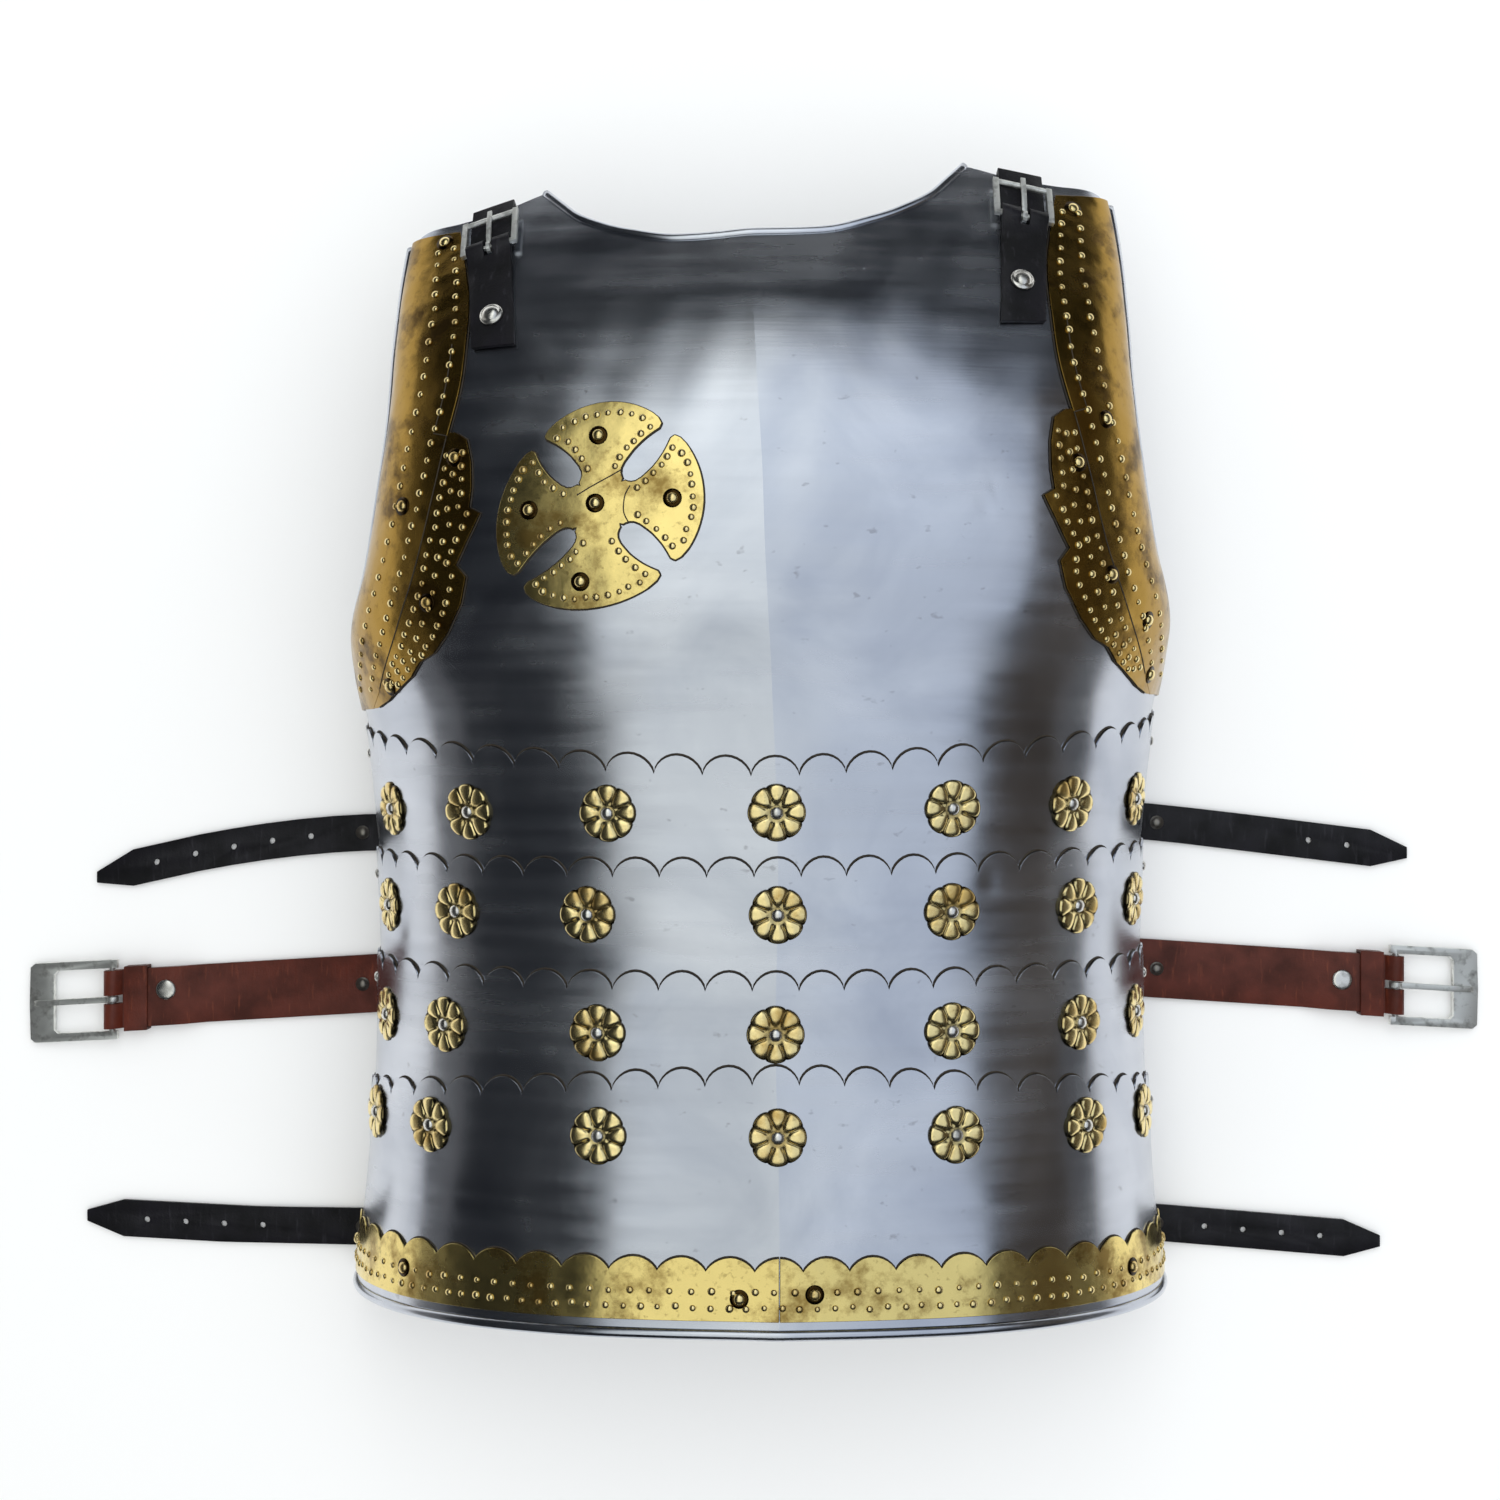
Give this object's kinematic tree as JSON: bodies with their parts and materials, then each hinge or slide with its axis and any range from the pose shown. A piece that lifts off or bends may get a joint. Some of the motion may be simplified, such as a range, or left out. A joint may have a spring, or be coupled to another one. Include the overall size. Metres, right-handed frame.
{
  "type": "plate armour breastplate",
  "caption": "Laminar steel breastplate with scalloped plates, brass bands, rosettes and cross, leather straps and buckles, lying on its back.",
  "frame": {"origin": "middle of the bounding box, on the floor that the armour lies on", "axes": "+Y up the body to the neck, +X to the right as the front is seen, +Z out of the chest"},
  "size_m": [0.751, 0.549, 0.1659],
  "materials": {
    "polished_steel": "polished with fine brushing across",
    "brass": "tarnished, punched with dots",
    "black_leather": "smooth, satin",
    "brown_leather": "worn reddish brown",
    "buckle_steel": "brushed"
  },
  "bodies": {
    "armour": {"breast_plate": "polished_steel", "lame_1": "polished_steel", "lame_2": "polished_steel", "lame_3": "polished_steel", "lame_4": "polished_steel", "hem_band_left": "brass", "hem_band_right": "brass", "cross_badge": "brass", "armhole_band_left": "brass", "armhole_band_right": "brass", "armhole_leaf_left": "brass", "armhole_leaf_right": "brass", "shoulder_strap_left": "black_leather", "shoulder_strap_right": "black_leather", "shoulder_buckle_left": "buckle_steel", "shoulder_buckle_right": "buckle_steel", "shoulder_prong_left": "buckle_steel", "shoulder_prong_right": "buckle_steel", "shoulder_tongue_left": "black_leather", "shoulder_tongue_right": "black_leather", "upper_strap_left": "black_leather", "upper_strap_right": "black_leather", "lower_strap_left": "black_leather", "lower_strap_right": "black_leather", "belt_left": "brown_leather", "belt_right": "brown_leather", "keeper_left": "brown_leather", "keeper_right": "brown_leather", "buckle_left": "buckle_steel", "buckle_right": "buckle_steel", "rosette_1_1": "brass", "rosette_1_2": "brass", "rosette_1_3": "brass", "rosette_1_4": "brass", "rosette_1_5": "brass", "rosette_1_6": "brass", "rosette_1_7": "brass", "rosette_2_1": "brass", "rosette_2_2": "brass", "rosette_2_3": "brass", "rosette_2_4": "brass", "rosette_2_5": "brass", "rosette_2_6": "brass", "rosette_2_7": "brass", "rosette_3_1": "brass", "rosette_3_2": "brass", "rosette_3_3": "brass", "rosette_3_4": "brass", "rosette_3_5": "brass", "rosette_3_6": "brass", "rosette_3_7": "brass", "rosette_4_1": "brass", "rosette_4_2": "brass", "rosette_4_3": "brass", "rosette_4_4": "brass", "rosette_4_5": "brass", "rosette_4_6": "brass", "rosette_4_7": "brass"},
    "prong_left": {"prong_left": "buckle_steel"},
    "prong_right": {"prong_right": "buckle_steel"}
  },
  "joints": [
    {"name": "prong_left_hinge", "type": "hinge", "parent": "armour", "child": "prong_left", "pos_m": [-0.3316, -0.1334, 0.0062], "axis": [0, 1, 0], "range_deg": [0, 150]},
    {"name": "prong_right_hinge", "type": "hinge", "parent": "armour", "child": "prong_right", "pos_m": [0.3316, -0.1259, 0.0062], "axis": [0, -1, 0], "range_deg": [0, 150]}
  ]
}
